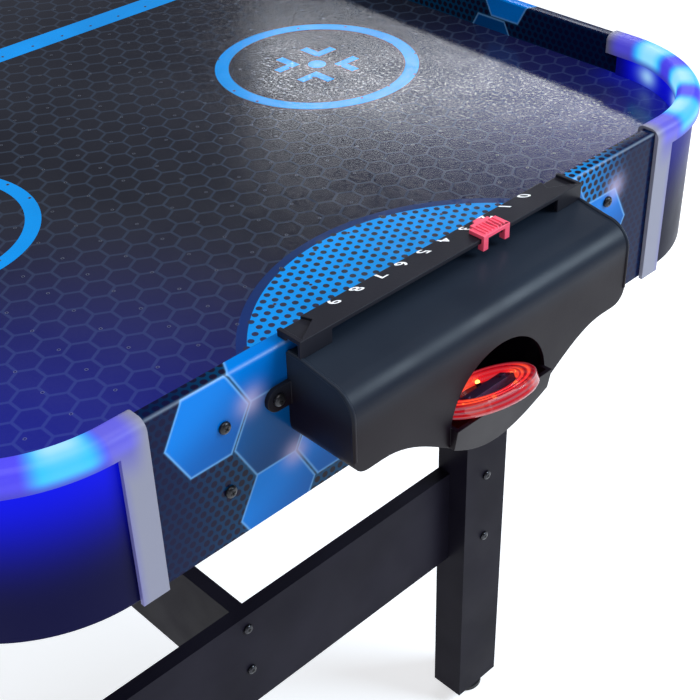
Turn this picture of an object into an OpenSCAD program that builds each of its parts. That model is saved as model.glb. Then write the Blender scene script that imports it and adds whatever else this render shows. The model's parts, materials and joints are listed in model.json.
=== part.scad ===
// Home air hockey table with lit corners, slide scorers and puck-return goal boxes.
// Millimetres, +Z up. The origin is on the floor under the middle of the table, +X runs along
// the length and the near end is at -X. Each end is drawn in its own frame: x = 0 on the outer
// face of the end panel, +x into the table, z = 0 on the playing surface.

/* [Cabinet] */
// Length over the end panels
cab_l = 1372; // [1300:2:1500]
// Width over the side panels
cab_w = 686; // [670:2:740]
// Height of the rim above the floor
rim_h = 808; // [780:1:850]
// Height of the rim above the playing surface
rim_up = 29; // [27:1:31]
// Height of the side and end panels
panel_h = 116; // [112:1:126]
// Thickness of the side and end panels
wall_t = 10.5; // [10:0.5:12]
// Thickness of the playing board
field_t = 9; // [8:1:10]
// Thickness of the bottom board
bottom_t = 6; // [5:1:7]
// Thickness of the rails between the boards
rail_t = 18; // [15:1:20]

/* [Corners] */
// Outer plan radius of a corner
corner_r = 106; // [104:1:108]
// Length of a corner piece along each outer face
corner_leg = 124; // [123:1:126]
// Distance from a corner's outer face to the face of its lit inner wall
channel_w = 13; // [12.5:0.5:14]
// Height of the light channel above the rim
channel_up = 2; // [2:0.5:3]
// Lights in each corner
led_n = 3; // [3:1:5]

/* [Goal] */
// Width of the goal slot in the end panel
slot_w = 200; // [180:2:205]
// Height of the goal slot
slot_h = 20; // [18:1:21]
// Width of the goal box
box_w = 245; // [243:1:247]
// Depth of the goal box beyond the end panel
box_d = 52; // [50:1:54]
// Wall thickness of the goal box
box_t = 2.8; // [2.4:0.1:3.2]
// Radius of the arched puck opening
arch_r = 43; // [40:1:44]

/* [Scorer] */
// Length of a scorer bar
bar_l = 244; // [240:1:246]
// Pitch of the score digits
digit_pitch = 18.4; // [17.5:0.1:18.5]
// Score shown at the near end
near_score = 2.5; // [0:0.5:9]
// Score shown at the far end
far_score = 0; // [0:0.5:9]

/* [Puck] */
// Diameter of the puck
puck_d = 66; // [60:1:68]
// Thickness of the puck
puck_t = 8.6; // [8:0.2:9]

/* [Stand] */
// Width of a leg along the end of the table
leg_w = 60; // [56:1:64]
// Depth of a leg along the length of the table
leg_d = 38; // [36:1:42]
// Distance from the end panel's outer face to the legs
leg_in = 202.5; // [190:0.5:230]
// Height of the end boards
board_h = 117.5; // [110:0.5:125]
// Thickness of the end boards and of the stretcher
board_t = 15; // [14:0.5:16]
// Height of the top edge of the end boards above the floor
board_top = 331; // [320:1:340]
// Height of the long stretcher
stretcher_h = 117.5; // [100:0.5:120]

/* [Blower] */
// Side of the square fan frame
fan_side = 120; // [118:1:122]
// Depth of the fan frame
fan_depth = 25; // [25:1:30]
// Fan blades
blade_n = 7; // [5:1:9]

/* [Hidden] */
$fn = 64;

eps = 0.05;
field_z = rim_h - rim_up;
panel_low = rim_up - panel_h;
panel_end = corner_leg - 10;
bottom_z = panel_low + 6.5;
rail_h = -field_t - (bottom_z + bottom_t);
end_half = cab_w / 2 - panel_end;
side_half = cab_l / 2 - panel_end;
field_r = corner_r - wall_t;
ledge_z = 13;
ledge_t = 3;
channel_t = 2.5;
channel_top = rim_up + channel_up;
channel_in = corner_r - channel_w;
skirt_z = ledge_z + ledge_t;
skirt_t = 1.5;
shell_out = corner_r - 0.5;
shell_t = 3;
liner_t = 2.5;
strap_t = 3;
strap_low = panel_low - 2;
screw_r = 1.8;
screw_head_r = 4;
panel_screw_y = 169;
panel_screw_z = [-4, -50];
box_top = 22;
box_low = -38;
pocket_drop = 43;
pocket_half = 100;
pocket_floor = box_low - pocket_drop;
arch_z = -52.6;
lip_z = -48.6;
lip_out = 6;
lip_half = 43.5;
ear_y = 132;
bar_x = [-12, 7];
bar_top = 34;
bar_t = 3;
slider_w = 24;
slider_gap = 0.3;
post_r = 4;
leg_top = field_z + bottom_z;
foot_h = 12;
foot_r = 19;
stem_r = 4;
stem_l = 32;
stem_bore = stem_r + 0.06;
puck_at = [-42, 0.5, -49.3];
puck_pitch = 27;
puck_roll = 0;
leg_y = cab_w / 2 - wall_t - 2 - leg_w / 2;
rebate = board_t + 0.5;
bolt_r = 3;
leg_bolt_z = [board_top - 6, board_top - 90];
stretcher_bolt_z = [board_top - 16, board_top - 70];
fan_bore = fan_side / 2 - 2.5;
fan_hole = 52.5;
fan_top = leg_top;
hub_r = 24;
shaft_r = 2;
box_x = 250;
box_y = 288;
box_size = [96, 46, 30];
rocker_x = box_x - 22;
jack_x = box_x + 26;
box_wall = 2.5;
box_mid = fan_top - box_size[2] / 2;

// Places children in the frame of the near end (side = 0) or of the far end (side = 1)
module at_end(side)
    rotate([0, 0, 180 * side]) translate([-cab_l / 2, 0, field_z]) children();

// Places children at a corner: 0 far left, 1 near left, 2 near right, 3 far right
module at_corner(i) {
    sx = (i == 0 || i == 3) ? 1 : -1;
    sy = (i < 2) ? 1 : -1;
    translate([sx * (cab_l / 2 - corner_r), sy * (cab_w / 2 - corner_r), field_z])
        rotate([0, 0, 90 * i]) children();
}

// Places children at a leg, with +x towards the nearer end and +y outwards
module at_leg(i) {
    far = (i == 0 || i == 3);
    left = i < 2;
    mirror([far ? 0 : 1, 0, 0]) mirror([0, left ? 0 : 1, 0])
        translate([cab_l / 2 - leg_in, leg_y, 0]) children();
}

// Rectangle with rounded upper corners, r1 on the inner side and r2 on the outer side
module top_rounded(x0, x1, z0, z1, r1, r2) {
    big = max(r1, r2);
    translate([x0, z0]) square([x1 - x0, z1 - z0 - big]);
    translate([x0, z1 - big - eps]) square([r1, big - r1 + eps]);
    translate([x1 - r2, z1 - big - eps]) square([r2, big - r2 + eps]);
    translate([x0 + r1, z0]) square([x1 - x0 - r1 - r2, z1 - z0]);
    translate([x0 + r1, z1 - r1]) circle(r1);
    translate([x1 - r2, z1 - r2]) circle(r2);
}

// Sweeps a section in (radius, height) round a corner with a straight run at each end
module corner_sweep(run) {
    rotate_extrude(angle = 90) children();
    if (run > 0) {
        rotate([90, 0, 0]) linear_extrude(run) children();
        mirror([1, -1, 0]) rotate([90, 0, 0]) linear_extrude(run) children();
    }
}

module both_ends_of_corner() {
    children();
    mirror([1, -1, 0]) children();
}

// ---------------------------------------------------------------- boards and panels
// Plan of both boards: between the panels, and out to the corner shells at the corners
module board_plan()
    intersection() {
        square([cab_l - 2 * wall_t, cab_w - 2 * wall_t], center = true);
        union() {
            square([cab_l, cab_w - 2 * corner_r], center = true);
            square([cab_l - 2 * corner_r, cab_w], center = true);
            for (sx = [-1, 1])
                for (sy = [-1, 1])
                    translate([sx * (cab_l / 2 - corner_r), sy * (cab_w / 2 - corner_r)])
                        circle(corner_r - 4);
        }
    }

module playfield()
    color([0.10, 0.11, 0.14]) difference() {
        translate([0, 0, field_z - field_t]) linear_extrude(field_t) board_plan();
        panel_screw_set();
    }

module bottom_board()
    color([0.20, 0.19, 0.18]) difference() {
        translate([0, 0, leg_top]) linear_extrude(bottom_t) board_plan();
        translate([0, 0, leg_top - 1]) cylinder(r = fan_hole, h = bottom_t + 2);
    }

module end_rail(side)
    color([0.72, 0.60, 0.42]) difference() {
        at_end(side)
            translate([wall_t, -end_half, bottom_z + bottom_t]) cube([rail_t, 2 * end_half, rail_h]);
        panel_screw_set();
    }

module side_rail(s)
    color([0.72, 0.60, 0.42])
        translate([-side_half, s > 0 ? cab_w / 2 - wall_t - rail_t : -cab_w / 2 + wall_t,
                   leg_top + bottom_t])
            cube([2 * side_half, rail_t, rail_h]);

module panel_section() top_rounded(0, wall_t, panel_low, rim_up, 3, 1.5);

module end_panel(side)
    color([0.04, 0.42, 0.78]) difference() {
        at_end(side) translate([0, end_half, 0]) rotate([90, 0, 0])
            linear_extrude(2 * end_half) panel_section();
        at_end(side) translate([-1, -slot_w / 2, 0]) cube([wall_t + 2, slot_w, slot_h]);
        panel_screw_set();
        goal_screw_set();
    }

module side_panel(s)
    color([0.03, 0.05, 0.16]) rotate([0, 0, s > 0 ? 0 : 180])
        translate([side_half, cab_w / 2, field_z]) rotate([90, 0, -90])
            linear_extrude(2 * side_half) panel_section();

// ---------------------------------------------------------------- lit corners
module corner_shell(i)
    color([0.05, 0.05, 0.06]) at_corner(i) corner_sweep(panel_end - corner_r) {
        translate([shell_out - shell_t, panel_low]) square([shell_t, skirt_z + 4 - panel_low]);
        translate([channel_in + liner_t, ledge_z])
            square([shell_out - channel_in - liner_t, ledge_t]);
    }

module corner_liner(i)
    color([0.02, 0.06, 0.75]) at_corner(i) {
        corner_sweep(panel_end - corner_r)
            translate([channel_in, 0]) square([liner_t, channel_top - channel_t]);
    }

// Cap over the rim: the same section round the corner and on the straps at its ends
module channel_section()
    top_rounded(channel_in - skirt_t, corner_r + strap_t, skirt_z, channel_top, 5, 7);

module light_channel(i)
    color([0.80, 0.84, 0.97]) at_corner(i) difference() {
        union() {
            rotate_extrude(angle = 90) channel_section();
            both_ends_of_corner()
                rotate([90, 0, 0]) linear_extrude(corner_leg - corner_r) {
                    channel_section();
                    translate([corner_r, strap_low]) square([strap_t, skirt_z + 1 - strap_low]);
                }
        }
        corner_sweep(panel_end - corner_r + 1)
            translate([channel_in, skirt_z - 1])
                square([shell_out - channel_in, channel_top - channel_t - skirt_z + 1]);
        both_ends_of_corner()
            translate([field_r, -2 * corner_leg, panel_low])
                cube([wall_t, 2 * corner_leg + corner_r - panel_end, panel_h]);
    }

module led_strip(i)
    color([0.85, 0.92, 1.0]) at_corner(i) {
        translate([0, 0, skirt_z]) rotate_extrude(angle = 90)
            translate([channel_in + liner_t + 1, 0]) square([5, 0.8]);
        for (k = [0 : led_n - 1])
            rotate([0, 0, 90 * (k + 0.5) / led_n])
                translate([channel_in + liner_t + 1.5, -2.5, skirt_z + 0.8]) cube([4, 5, 1.6]);
    }

// ---------------------------------------------------------------- goal boxes
function low_edge(y) = abs(y) >= pocket_half ? box_low
    : box_low - pocket_drop * (1 + cos(180 * y / pocket_half)) / 2;
function low_slope(y) = abs(y) >= pocket_half ? 0
    : pocket_drop * PI / pocket_half * sin(180 * y / pocket_half) / 2;
// Lower outline of the box, moved inwards by a wall's thickness along its own normal
function low_point(y, inset) = let (s = low_slope(y), n = sqrt(1 + s * s))
    [y - inset * s / n, low_edge(y) + inset / n];

module box_outline(inset) {
    half = box_w / 2 - inset;
    r = 11 - inset;
    polygon(concat(
        [[half, box_top + 4], [-half, box_top + 4]],
        [for (a = [180 : 15 : 270])
            [-half + r * (1 + cos(a)), box_low + inset + r * (1 + sin(a))]],
        [for (y = [-pocket_half : 5 : pocket_half]) low_point(y, inset)],
        [for (a = [270 : 15 : 360])
            [half - r * (1 - cos(a)), box_low + inset + r * (1 + sin(a))]]));
}

// Side section of the box: a gently falling top that rounds over into the front face
module box_section(inset) {
    r = 17 - inset;
    front = -box_d + inset;
    top = box_top - 4 - inset;
    polygon(concat(
        [[inset > 0 ? 1 : 0, box_top - inset], [-12, box_top - inset]],
        [for (a = [90 : 7.5 : 180]) [front + r + r * cos(a), top - r + r * sin(a)]],
        [[front, pocket_floor - 2], [inset > 0 ? 1 : 0, pocket_floor - 2]]));
}

module box_solid(inset)
    intersection() {
        translate([-box_d - 1, 0, 0]) rotate([90, 0, 90]) linear_extrude(box_d + 1 + inset)
            box_outline(inset);
        translate([0, box_w / 2 + 1, 0]) rotate([90, 0, 0]) linear_extrude(box_w + 2)
            box_section(inset);
    }

// Front of the puck pocket: a lip that leans out from the face of the box
module pocket_front(inset)
    intersection() {
        translate([-box_d - lip_out - 1, 0, 0]) rotate([90, 0, 90]) linear_extrude(lip_out + 12)
            intersection() {
                box_outline(inset);
                translate([-lip_half + inset, pocket_floor - 1])
                    square([2 * (lip_half - inset), lip_z - pocket_floor + 1]);
            }
        translate([0, lip_half + 1, 0]) rotate([90, 0, 0]) linear_extrude(2 * lip_half + 2)
            polygon([[-box_d + 10, pocket_floor - 2], [-box_d + inset, pocket_floor - 2],
                     [-box_d - lip_out + inset, lip_z + 1], [-box_d + 10, lip_z + 1]]);
    }

module goal_box(side)
    color([0.09, 0.09, 0.10]) at_end(side) difference() {
        union() {
            box_solid(0);
            pocket_front(0);
            for (s = [-1, 1]) {
                translate([-3, s > 0 ? box_w / 2 - 1 : -ear_y, -12])
                    cube([3, ear_y - box_w / 2 + 1, 16]);
                translate([-3, s * ear_y, -4]) rotate([0, 90, 0]) cylinder(r = 8, h = 3);
            }
        }
        box_solid(box_t);
        pocket_front(box_t);
        translate([-box_d - lip_out - 2, 0, arch_z]) rotate([0, 90, 0]) difference() {
            cylinder(r = arch_r, h = lip_out + 8);
            translate([arch_z - lip_z, -arch_r - 1, -1]) cube([arch_r + 5, 2 * arch_r + 2, 20]);
        }
        for (s = [-1, 1])
            translate([-4, s * ear_y, -4]) rotate([0, 90, 0]) cylinder(r = screw_r, h = 5);
    }

// ---------------------------------------------------------------- scorers
module scorer_bar(side)
    color([0.10, 0.10, 0.11]) at_end(side) difference() {
        union() {
            translate([bar_x[0], -bar_l / 2, bar_top - bar_t])
                cube([bar_x[1] - bar_x[0], bar_l, bar_t]);
            for (s = [-1, 1]) {
                y0 = s > 0 ? bar_l / 2 - 20 : -bar_l / 2;
                translate([0, y0, rim_up]) cube([bar_x[1], 20, bar_top - rim_up]);
                translate([bar_x[0], s > 0 ? bar_l / 2 - 24 : -bar_l / 2, box_top])
                    cube([2.5, 24, bar_top - box_top]);
            }
        }
        for (s = [0, 1])
            mirror([0, s, 0]) translate([0, bar_l / 2, bar_top - 2]) linear_extrude(3)
                polygon([[bar_x[0] + 2, -3], [bar_x[1] + 1, -3], [bar_x[1] + 1, -17],
                         [bar_x[1] - 7, -20]]);
    }

function slider_y(score) = (score - 4.5) * digit_pitch;

module score_slider(side, score)
    color([0.93, 0.16, 0.27]) at_end(side) translate([0, slider_y(score), 0]) {
        z0 = bar_top + slider_gap;
        x0 = bar_x[0] - slider_gap - 2;
        translate([x0, 0, z0]) linear_extrude(2.6)
            polygon([[0, -slider_w / 2], [0, slider_w / 2], [12, slider_w / 2], [12, 8], [15, 8],
                     [15, 4], [17.5, 2.5], [17.5, -2.5], [15, -4], [15, -8], [12, -8],
                     [12, -slider_w / 2]]);
        for (k = [-3 : 3])
            translate([x0 + 1.5, k * 2.8 - 0.6, z0 + 2.6]) cube([10, 1.2, 0.8]);
        for (s = [-1, 1])
            translate([x0, s > 0 ? slider_w / 2 - 4.5 : -slider_w / 2, bar_top - 7.5]) {
                cube([2, 4.5, 7.5 + slider_gap + eps]);
                cube([4.5, 4.5, 7.5 - bar_t - slider_gap]);
            }
    }

// ---------------------------------------------------------------- puck
module in_pocket() at_end(0) translate(puck_at) rotate([puck_roll, puck_pitch, 0]) children();

module puck_outline(r, t, bevel)
    polygon([[0, -t / 2], [r - bevel, -t / 2], [r, -t / 2 + bevel], [r, t / 2 - bevel],
             [r - bevel, t / 2], [0, t / 2]]);

module puck_shell()
    color([0.95, 0.30, 0.30, 0.5]) in_pocket() difference() {
        rotate_extrude() difference() {
            puck_outline(puck_d / 2, puck_t, 1.2);
            for (r = [puck_d / 2 - 5, puck_d / 2 - 9])
                translate([r, puck_t / 2 - 0.6]) square([1.5, 1]);
        }
        translate([0, 0, -puck_t / 2 + 1.6]) cylinder(r = puck_d / 2 - 11, h = puck_t);
    }

module puck_core()
    color([0.16, 0.10, 0.16]) in_pocket() translate([0, 0, -puck_t / 2 + 1.6]) {
        cylinder(r = puck_d / 2 - 11.05, h = 1.2);
        translate([-6, -puck_d / 2 + 12.5, 0]) cube([12, puck_d - 25, 5]);
        for (s = [-1, 1])
            translate([0, s * (puck_d / 2 - 17), 4.9]) cylinder(r = 2.2, h = 1.1);
        for (k = [0 : 5])
            rotate([0, 0, 30 + 60 * k]) translate([puck_d / 2 - 15, -1.5, 1.1])
                cube([3, 3, 1.6]);
    }

// ---------------------------------------------------------------- blower
module fan_frame()
    color([0.08, 0.08, 0.09]) translate([0, 0, fan_top - fan_depth]) {
        difference() {
            translate([-fan_side / 2, -fan_side / 2, 0]) cube([fan_side, fan_side, fan_depth]);
            translate([0, 0, -1]) cylinder(r = fan_bore, h = fan_depth + 2);
            for (a = [0 : 3])
                rotate([0, 0, 90 * a]) translate([52.5, 52.5, -1])
                    cylinder(r = 2.2, h = fan_depth + 2);
            for (a = [0 : 3])
                rotate([0, 0, 90 * a]) translate([38, 56, 5]) cube([30, 30, fan_depth - 10]);
        }
        difference() {
            union() {
                cylinder(r = 22, h = 3);
                for (a = [0 : 2])
                    rotate([0, 0, 120 * a + 30]) translate([20, -2.5, 0]) cube([fan_bore - 19, 5, 3]);
            }
            translate([0, 0, -1]) cylinder(r = 6, h = 5);
        }
    }

module fan_motor()
    color([0.55, 0.40, 0.20]) translate([0, 0, fan_top - fan_depth]) difference() {
        union() {
            cylinder(r = 6, h = 3);
            translate([0, 0, 3]) cylinder(r = 18, h = 12);
            translate([0, 0, 15]) cylinder(r = 5, h = 2.5);
        }
        translate([0, 0, 1]) cylinder(r = shaft_r + 0.05, h = 20);
    }

module fan_impeller()
    color([0.12, 0.12, 0.13]) translate([0, 0, fan_top - fan_depth]) {
        translate([0, 0, 2]) cylinder(r = shaft_r, h = 19);
        difference() {
            translate([0, 0, 4]) cylinder(r = hub_r, h = 19);
            translate([0, 0, 3]) cylinder(r = hub_r - 3.5, h = 16);
        }
        translate([0, 0, 18]) cylinder(r = shaft_r + 2, h = 2);
        intersection() {
            translate([0, 0, 4]) difference() {
                cylinder(r = fan_bore - 1.5, h = 19);
                translate([0, 0, -1]) cylinder(r = hub_r - 1.5, h = 21);
            }
            for (a = [0 : blade_n - 1])
                rotate([0, 0, 360 * a / blade_n]) translate([hub_r - 2, 0, 13.5])
                    rotate([38, 0, 0]) translate([0, -18, -0.9]) cube([fan_bore, 36, 1.8]);
        }
    }

module ring(r, wire) rotate_extrude() translate([r, 0]) circle(wire);

module fan_grille()
    color([0.6, 0.6, 0.62]) translate([0, 0, fan_top - fan_depth - 1.2]) {
        for (r = [12 : 11 : 56]) ring(r, 1.2);
        for (a = [0 : 3])
            rotate([0, 0, 90 * a + 45]) {
                translate([11, 0, 0]) rotate([0, 90, 0]) cylinder(r = 1.1, h = 60, $fn = 24);
                difference() {
                    translate([74.25, 0, -1]) cylinder(r = 5, h = 2.2);
                    translate([74.25, 0, -2]) cylinder(r = 2.2, h = 4);
                }
            }
    }

// ---------------------------------------------------------------- wiring and power
module wiring_box()
    color([0.10, 0.10, 0.11]) difference() {
        translate([box_x - box_size[0] / 2, box_y - box_size[1] / 2, fan_top - box_size[2]])
            cube(box_size);
        translate([box_x - box_size[0] / 2 + box_wall, box_y - box_size[1] / 2 + box_wall,
                   fan_top - box_size[2] + box_wall])
            cube([box_size[0] - 2 * box_wall, box_size[1] - 2 * box_wall, box_size[2]]);
        translate([rocker_x - 13, box_y, box_mid - 9]) cube([26, 40, 18]);
        translate([jack_x, box_y, box_mid]) rotate([-90, 0, 0]) cylinder(r = 6, h = 40);
    }

module at_box_face() translate([0, box_y + box_size[1] / 2, box_mid]) children();

module switch_bezel()
    color([0.07, 0.07, 0.08]) at_box_face() translate([rocker_x, 0, 0]) difference() {
        union() {
            translate([-15, 0, -11]) cube([30, 2, 22]);
            translate([-13, -14, -9]) cube([26, 14 + eps, 18]);
        }
        translate([-11, -12, -7]) cube([22, 20, 14]);
        translate([-20, -4, 0]) rotate([0, 90, 0]) translate([0, 0, 6]) cylinder(r = 1.56, h = 28);
    }

module switch_rocker()
    color([0.75, 0.08, 0.08]) at_box_face() translate([rocker_x, -4, 0]) rotate([12, 0, 0]) {
        translate([-12.8, 0, 0]) rotate([0, 90, 0]) cylinder(r = 1.5, h = 25.6);
        intersection() {
            translate([-10.4, -3, -6]) cube([20.8, 10, 12]);
            rotate([0, 90, 0]) cylinder(r = 6.4, h = 40, center = true);
        }
    }

module power_inlet()
    color([0.08, 0.08, 0.09]) at_box_face() translate([jack_x, 0, 0]) rotate([-90, 0, 0]) {
        difference() {
            union() {
                translate([0, 0, -14]) cylinder(r = 5.9, h = 14);
                cylinder(r = 8, h = 2);
            }
            translate([0, 0, -9]) cylinder(r = 3.1, h = 12);
        }
        translate([0, 0, -9.5]) cylinder(r = 1, h = 9);
    }

// ---------------------------------------------------------------- stand
module leg_hole_set()
    for (i = [0 : 3])
        at_leg(i) for (z = leg_bolt_z) translate([-leg_d - 12, 0, z]) rotate([0, 90, 0])
            cylinder(r = bolt_r, h = leg_d + 14);

module leg(i)
    color([0.10, 0.10, 0.11]) difference() {
        at_leg(i) difference() {
            translate([-leg_d, -leg_w / 2, foot_h]) cube([leg_d, leg_w, leg_top - foot_h]);
            translate([-leg_d - 1, -leg_w / 2 - 1, board_top - board_h])
                cube([rebate + 1, leg_w + 2, board_h]);
            translate([-leg_d / 2, 0, foot_h - 1]) cylinder(r = stem_bore, h = stem_l + 1.5);
        }
        leg_hole_set();
    }

module end_board(side)
    color([0.12, 0.12, 0.13]) difference() {
        at_end(side) translate([leg_in + leg_d - rebate, -leg_y - leg_w / 2, 0])
            translate([0, 0, board_top - board_h - field_z])
                cube([board_t, 2 * leg_y + leg_w, board_h]);
        leg_hole_set();
        stretcher_bolt_set(bolt_r);
    }

module stretcher()
    color([0.12, 0.12, 0.13]) difference() {
        half = cab_l / 2 - leg_in - leg_d + rebate - board_t;
        translate([-half, -board_t / 2, board_top - stretcher_h])
            cube([2 * half, board_t, stretcher_h]);
        stretcher_bolt_set(bolt_r);
    }

module leg_brackets()
    color([0.45, 0.45, 0.48])
        for (i = [0 : 3])
            at_leg(i) translate([-leg_d / 2 - 15, -leg_w / 2, leg_top]) {
                translate([0, -2, -50]) cube([30, 2, 50]);
                translate([0, -40, -2]) cube([30, 40, 2]);
            }

module leveler(i)
    color([0.14, 0.14, 0.15]) at_leg(i) translate([-leg_d / 2, 0, 0]) {
        cylinder(r = foot_r - 2, h = 2);
        translate([0, 0, 2]) cylinder(r = foot_r, h = 5);
        translate([0, 0, 7 - eps]) cylinder(r1 = foot_r, r2 = 9, h = 3 + eps);
        translate([0, 0, 10 - eps]) cylinder(r = 9, h = 2 + eps);
        translate([0, 0, foot_h - eps]) cylinder(r = stem_r, h = stem_l - 2);
    }

// ---------------------------------------------------------------- fasteners
module screw(r, l, head_r, head_h) {
    translate([0, 0, -eps]) cylinder(r = r, h = l + eps);
    translate([0, 0, -head_h + 1]) cylinder(r = head_r, h = head_h - 1);
    translate([0, 0, -head_h]) cylinder(r1 = head_r - 1.2, r2 = head_r, h = 1 + eps);
}

module panel_screw_set()
    for (side = [0, 1])
        at_end(side) for (s = [-1, 1]) for (z = panel_screw_z)
            translate([0, s * panel_screw_y, z]) rotate([0, 90, 0])
                screw(screw_r, 24, screw_head_r, 2.6);

module goal_screw_set()
    for (side = [0, 1])
        at_end(side) for (s = [-1, 1])
            translate([-3, s * ear_y, -4]) rotate([0, 90, 0])
                screw(screw_r, 11, screw_head_r, 2.6);

module leg_bolt_set()
    for (i = [0 : 3])
        at_leg(i) for (z = leg_bolt_z) {
            translate([0, 0, z]) rotate([0, -90, 0]) screw(bolt_r, leg_d + 5, 5, 3.2);
            translate([-leg_d - 5.5, 0, z]) rotate([0, 90, 0]) cylinder(r = 5.5, h = 5, $fn = 6);
        }

// Bolts through the end boards into the ends of the long stretcher
module stretcher_bolt_set(r)
    for (side = [0, 1])
        at_end(side) for (z = stretcher_bolt_z)
            translate([leg_in + leg_d - rebate, 0, z - field_z]) rotate([0, 90, 0])
                screw(r, board_t + 40, 5, 3.2);

module fan_screw_set()
    for (a = [0 : 3])
        rotate([0, 0, 90 * a]) translate([52.5, 52.5, fan_top - fan_depth - 2.2])
            screw(2.1, fan_depth + 2.1, 4, 2.4);

// ---------------------------------------------------------------- sub-parts
playfield();
bottom_board();
end_rail(0);  // end_rail_near
end_rail(1);  // end_rail_far
side_rail(1);  // side_rail_left
side_rail(-1);  // side_rail_right
end_panel(0);  // end_panel_near
end_panel(1);  // end_panel_far
side_panel(1);  // side_panel_left
side_panel(-1);  // side_panel_right
corner_shell(0);  // corner_shell_far_left
corner_shell(1);  // corner_shell_near_left
corner_shell(2);  // corner_shell_near_right
corner_shell(3);  // corner_shell_far_right
corner_liner(0);  // corner_liner_far_left
corner_liner(1);  // corner_liner_near_left
corner_liner(2);  // corner_liner_near_right
corner_liner(3);  // corner_liner_far_right
light_channel(0);  // light_channel_far_left
light_channel(1);  // light_channel_near_left
light_channel(2);  // light_channel_near_right
light_channel(3);  // light_channel_far_right
led_strip(0);  // led_strip_far_left
led_strip(1);  // led_strip_near_left
led_strip(2);  // led_strip_near_right
led_strip(3);  // led_strip_far_right
goal_box(0);  // goal_box_near
goal_box(1);  // goal_box_far
scorer_bar(0);  // scorer_bar_near
scorer_bar(1);  // scorer_bar_far
score_slider(0, near_score);  // score_slider_near
score_slider(1, far_score);  // score_slider_far
puck_shell();
puck_core();
fan_frame();
fan_impeller();
fan_motor();
fan_grille();
wiring_box();
switch_bezel();
switch_rocker();
power_inlet();
leg(0);  // leg_far_left
leg(1);  // leg_near_left
leg(2);  // leg_near_right
leg(3);  // leg_far_right
end_board(0);  // end_board_near
end_board(1);  // end_board_far
stretcher();
leg_brackets();
color([0.06, 0.06, 0.07]) panel_screw_set();  // panel_screws
color([0.06, 0.06, 0.07]) goal_screw_set();  // goal_box_screws
color([0.35, 0.35, 0.37]) leg_bolt_set();  // leg_bolts
color([0.35, 0.35, 0.37]) stretcher_bolt_set(bolt_r);  // stretcher_bolts
color([0.3, 0.3, 0.32]) fan_screw_set();  // fan_screws
leveler(0);  // leveler_far_left
leveler(1);  // leveler_near_left
leveler(2);  // leveler_near_right
leveler(3);  // leveler_far_right
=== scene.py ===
"""Air hockey table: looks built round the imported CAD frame. Metres, +Z up, near end at -X."""
import json
import math
from math import cos, pi, radians, sin

import bmesh
import bpy
from mathutils import Matrix, Vector


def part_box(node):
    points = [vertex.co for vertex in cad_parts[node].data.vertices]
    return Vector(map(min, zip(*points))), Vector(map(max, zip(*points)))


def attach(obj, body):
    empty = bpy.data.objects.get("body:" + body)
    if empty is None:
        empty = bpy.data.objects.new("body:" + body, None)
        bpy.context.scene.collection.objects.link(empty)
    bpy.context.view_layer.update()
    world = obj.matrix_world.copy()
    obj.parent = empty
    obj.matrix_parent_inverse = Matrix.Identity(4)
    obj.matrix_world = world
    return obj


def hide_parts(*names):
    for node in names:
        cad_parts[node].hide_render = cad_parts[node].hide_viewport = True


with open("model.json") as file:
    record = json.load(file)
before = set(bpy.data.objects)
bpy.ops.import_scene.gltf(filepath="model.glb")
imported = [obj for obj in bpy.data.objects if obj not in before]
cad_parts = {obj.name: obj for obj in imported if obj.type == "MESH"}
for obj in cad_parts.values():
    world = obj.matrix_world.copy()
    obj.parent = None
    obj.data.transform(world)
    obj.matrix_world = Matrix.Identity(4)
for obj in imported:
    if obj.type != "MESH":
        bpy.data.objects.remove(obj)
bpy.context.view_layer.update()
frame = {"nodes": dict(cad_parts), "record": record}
MM = 0.001

# ---------------------------------------------------------------- places taken from the frame
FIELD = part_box("playfield")[1][2]
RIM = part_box("end_panel_near")[1][2]
HALF_L = -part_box("end_panel_near")[0][0]
HALF_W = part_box("side_panel_left")[1][1]
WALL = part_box("end_panel_near")[1][0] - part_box("end_panel_near")[0][0]
INNER_L = HALF_L - WALL
INNER_W = HALF_W - WALL
CORNER_R = 106 * MM
ARC_X = HALF_L - CORNER_R
ARC_Y = HALF_W - CORNER_R
BAR_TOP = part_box("scorer_bar_near")[1][2]
ENDS = {"near": -1, "far": 1}


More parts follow.
